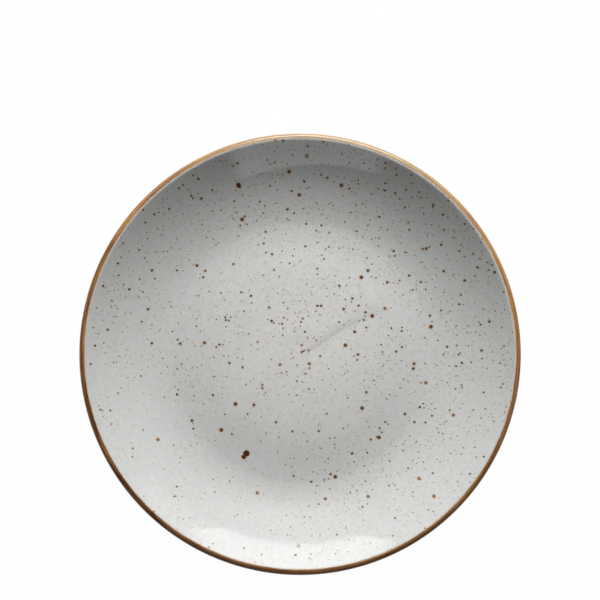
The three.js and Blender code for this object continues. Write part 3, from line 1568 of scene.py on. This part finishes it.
@dataclass(frozen=True)
class Glow:
    """A soft patch of light on the curtain, placed by its bearing and elevation as a lamp is, in degrees.

    Its brightness falls as e to the minus of two squared distances, across and up, each in half-widths of the
    patch and each raised to a power: 1 gives a slow fade, and more gives a flat middle with a crisper edge.
    """

    bearing: float
    elevation: float
    half_width: float
    half_height: float
    radiance: float
    crispness: float = 1.0

    def level(self, x: Field, y: Field, elevation: Field) -> Field:
        """Brightness of the patch at a place on the curtain.

        Args:
            x, y: the place on the curtain.
            elevation: its elevation, in degrees.

        Returns:
            The brightness, where 1 is white.
        """
        across = off_bearing(x, y, self.bearing) / self.half_width
        up = (elevation - self.elevation) / self.half_height
        fall = (across * across) ** self.crispness + (up * up) ** self.crispness
        return (-fall).exp() * self.radiance


@dataclass(frozen=True)
class Panel:
    """A lit panel on the curtain, placed by its bearing and its two edges' elevations, in degrees.

    Its half-width narrows by the slant for each degree above the low edge, its high edge drops by the tilt
    for each degree past its bearing, and its low edge rises by the sag times the square of the degrees off
    its bearing. Each edge is a ramp as wide as its own softness.
    """

    bearing: float
    half_width: float
    low: float
    high: float
    radiance: float
    slant: float = 0.0
    tilt: float = 0.0
    sag: float = 0.0
    soft_side: float = 2.0
    soft_low: float = 0.8
    soft_high: float = 1.0

    def level(self, x: Field, y: Field, elevation: Field) -> Field:
        """Brightness of the panel at a place on the curtain.

        Args:
            x, y: the place on the curtain.
            elevation: its elevation, in degrees.

        Returns:
            The brightness, where 1 is white.
        """
        across = off_bearing(x, y, self.bearing)
        over = elevation - self.low - across * across * self.sag
        under = self.high - across * self.tilt - elevation
        within = self.half_width - over * self.slant - abs(across)
        edges = ((over, self.soft_low), (under, self.soft_high), (within, self.soft_side))
        level = self.radiance
        for inside, soft in edges:
            level = level * inside.ramp(soft)
        return level


@dataclass(frozen=True)
class Curtain:
    """A dark curtain hung as a dome behind the lamps, which only mirror-like reflections show."""

    radius: float = 4.0
    rings: int = 12
    steps: int = 48
    cloth_level: float = 0.02
    lights: Sequence[Union[Glow, Panel]] = (
        Panel(
            bearing=2.9,
            half_width=30.4,
            low=34.5,
            high=44.7,
            radiance=3.9,
            slant=0.95,
            sag=0.0014,
            soft_side=0.6,
            soft_high=4.0,
        ),
        Glow(bearing=4, elevation=62, half_width=28, half_height=14, radiance=1.6),
        Glow(bearing=42, elevation=37, half_width=11, half_height=7, radiance=1.0, crispness=2),
        Panel(bearing=182, half_width=20, low=27, high=41.8, radiance=1.35, tilt=0.15, soft_side=4.0),
        Glow(bearing=182, elevation=60, half_width=28, half_height=9, radiance=0.7),
        Panel(
            bearing=6.5,
            half_width=21,
            low=14,
            high=33,
            radiance=1.2,
            soft_side=4.0,
            soft_low=6.0,
            soft_high=3.0,
        ),
    )

    def build(self) -> bpy.types.Object:
        """Makes the dome: a quarter circle turned about Z, seen by glossy rays alone.

        Returns:
            The dome, marked as stage.
        """
        quarter = arc((0.0, 0.0), self.radius, math.pi / 2, 0.0, self.rings).points
        quarter[0, 0] = 0.0
        dome = Turned(quarter, [Patch.MAIN] * len(quarter), self.steps).build("dark_curtain")
        made, graph = Graph.material("dark_cloth")
        x, y, z = graph.field("TexCoord", "Object").parts()
        elevation = z.angle_from((x * x + y * y).root()) * DEGREES
        level = sum((light.level(x, y, elevation) for light in self.lights), self.cloth_level)
        grey = graph.field("CombineXYZ", 0, {0: level, 1: level, 2: level})
        inputs = {"Base Color": BLACK, "Emission Color": grey, "Emission Strength": 1.0}
        graph.surface(graph.node("BsdfPrincipled", inputs))
        dome.data.materials.append(made)
        dome.visible_camera = False
        dome.visible_diffuse = False
        dome.visible_transmission = False
        dome.visible_shadow = False
        return dome


@dataclass
class Studio:
    """A white table in a dark room, soft lamps behind the plate and a camera that looks straight down."""

    sizes: PlateSizes
    photo_width: float = 600.0
    plate_centre_px: Point = (300.1, 354.3)
    rim_radius_px: float = 220.8
    lens: float = 120.0
    sensor: float = 36.0
    room_level: float = 0.015
    table_reach: float = 6.0
    table_drop: float = 0.2 * MM
    table_white_share: float = 0.985
    table_colour: Colour = srgb(240, 240, 238)
    lamps: Sequence[Lamp] = (
        BACK_SOFTBOX,
        replace(BACK_SOFTBOX, name="band_softbox", mirrored=True, share=Share.BAND_ALONE),
        Lamp(
            name="overhead_fill",
            face=Face.RECTANGLE,
            bearing=3.5,
            elevation=44,
            distance=1.2,
            width=0.9,
            height=0.4,
            radiance=4.2,
        ),
        Lamp(
            name="front_card",
            face=Face.RECTANGLE,
            bearing=182,
            elevation=60,
            distance=1.55,
            width=0.9,
            height=0.45,
            radiance=0.7,
            colour=(0.88, 1.0, 1.0),
        ),
        Lamp(
            name="front_wall",
            face=Face.ELLIPSE,
            bearing=181,
            elevation=39,
            distance=1.4,
            width=0.95,
            height=0.32,
            radiance=1.2,
            colour=(1.0, 0.94, 0.94),
        ),
    )

    def camera(self) -> bpy.types.Object:
        """Makes the camera.

        It looks along -Z with +Y up. Its distance makes the rim's radius as wide as in the photograph, and it
        stands off the plate's axis by the plate's own distance from the middle of the picture.

        Returns:
            The camera, set as the scene's.
        """
        data = bpy.data.cameras.new("camera")
        data.lens, data.sensor_width = self.lens, self.sensor
        thing = placed("camera", data)
        pixel = self.sizes.rim_radius / self.rim_radius_px
        middle = self.photo_width / 2
        distance = self.lens * self.photo_width * pixel / self.sensor
        thing.location = (
            (middle - self.plate_centre_px[0]) * pixel,
            (self.plate_centre_px[1] - middle) * pixel,
            self.sizes.lip_centre[1] + distance,
        )
        bpy.context.scene.camera = thing
        return thing

    @staticmethod
    def seen(graph: Graph) -> Field:
        """One for rays that show a background: from the camera, a mirror-like surface or glass.

        Args:
            graph: the graph of a material or of the world.

        Returns:
            One or zero.
        """
        node = graph.node("LightPath")
        kinds = ("Is Camera Ray", "Is Glossy Ray", "Is Transmission Ray")
        camera, glossy, clear = (Field(graph, node.outputs[kind]) for kind in kinds)
        return camera.larger(glossy).larger(clear)

    def room(self) -> None:
        """Sets the world: white where it is seen, and dim where it lights the plate."""
        world = bpy.data.worlds.new("room")
        bpy.context.scene.world = world
        world.use_nodes = True
        graph = Graph(world.node_tree)
        level = self.seen(graph) * (1.0 - self.room_level) + self.room_level
        shader = graph.node("Background", {"Color": WHITE, "Strength": level})
        output = graph.node("OutputWorld")
        world.node_tree.links.new(shader.outputs[0], output.inputs["Surface"])

    def table(self) -> bpy.types.Object:
        """Makes the table top: a white sheet that still takes the plate's shadow.

        Returns:
            The table top, marked as stage.
        """
        reach = self.table_reach
        corners = [(-reach, -reach), (reach, -reach), (reach, reach), (-reach, reach)]
        mesh = bpy.data.meshes.new("table")
        mesh.from_pydata([(x, y, -self.table_drop) for x, y in corners], [], [(0, 1, 2, 3)])
        thing = placed("table", mesh)
        made, graph = Graph.material("table_white")
        lit = graph.node("BsdfDiffuse", {"Color": self.table_colour})
        white = graph.node("Emission", {"Color": WHITE, "Strength": 1.0})
        share = self.seen(graph) * self.table_white_share
        inputs = {0: share, 1: Field(graph, lit.outputs[0]), 2: Field(graph, white.outputs[0])}
        graph.surface(graph.node("MixShader", inputs))
        thing.data.materials.append(made)
        return thing

    def build(self, band: bpy.types.Object) -> None:
        """Sets the plain view transform and the whole studio.

        Args:
            band: the lip band, which some lamps light alone or leave out.
        """
        bpy.context.scene.view_settings.view_transform = "Standard"
        self.camera()
        self.room()
        self.table()
        Curtain().build()
        for lamp in self.lamps:
            lamp.build(band)


def main() -> None:
    """Builds the finishes, the plate's five pieces and the studio round them, in that order."""
    logging.basicConfig(level=logging.INFO, format="%(message)s")
    sizes = PlateSizes.from_frame()
    line = Meridian(sizes)
    tint = LipTint(sizes)
    front = GlazeFinish("front_speckled_glaze", tint, BLOTS).material()
    band = GlazeFinish("lip_brown_wash", tint, ior=1.42).material()
    back = GlazeFinish("back_speckled_glaze", tint, scatter_shift=BACK_SHIFT).material()
    hollow = GlazeFinish("hollow_speckled_glaze", tint, scatter_shift=BACK_SHIFT).material()
    biscuit = BiscuitFinish("bare_biscuit").material()
    front_run = line.front().then(line.lip(line.lip_front, line.band_front))
    band_run = line.lip(line.band_front, line.band_back)
    back_run = line.lip(line.band_back, line.lip_back).then(line.back())
    marks = TurningMarks(wall_start=sizes.well_radius, wall_end=line.on_lip(line.lip_front)[0])
    Coat(
        name="speckled_front_glaze",
        node="front_glaze",
        slot="speckled_glaze",
        run=front_run,
        sizes=sizes,
        seat_patch=Patch.HIDDEN_FRONT,
        relief=marks.height,
    ).build(front)
    lip_band = Coat(
        name="brown_lip_band",
        node="lip_band",
        slot="iron_band",
        run=band_run,
        sizes=sizes,
        layout=Layout.ROWS,
    ).build(band)
    Coat(
        name="speckled_back_glaze",
        node="back_glaze",
        slot="speckled_glaze",
        run=back_run,
        sizes=sizes,
    ).build(back)
    Coat(
        name="speckled_hollow_glaze",
        node="foot_hollow_glaze",
        slot="speckled_glaze",
        run=line.hollow(),
        sizes=sizes,
        steps=240,
    ).build(hollow)
    ClayBody(line).build(biscuit)
    Studio(sizes).build(lip_band)


if __name__ == "__main__":
    main()
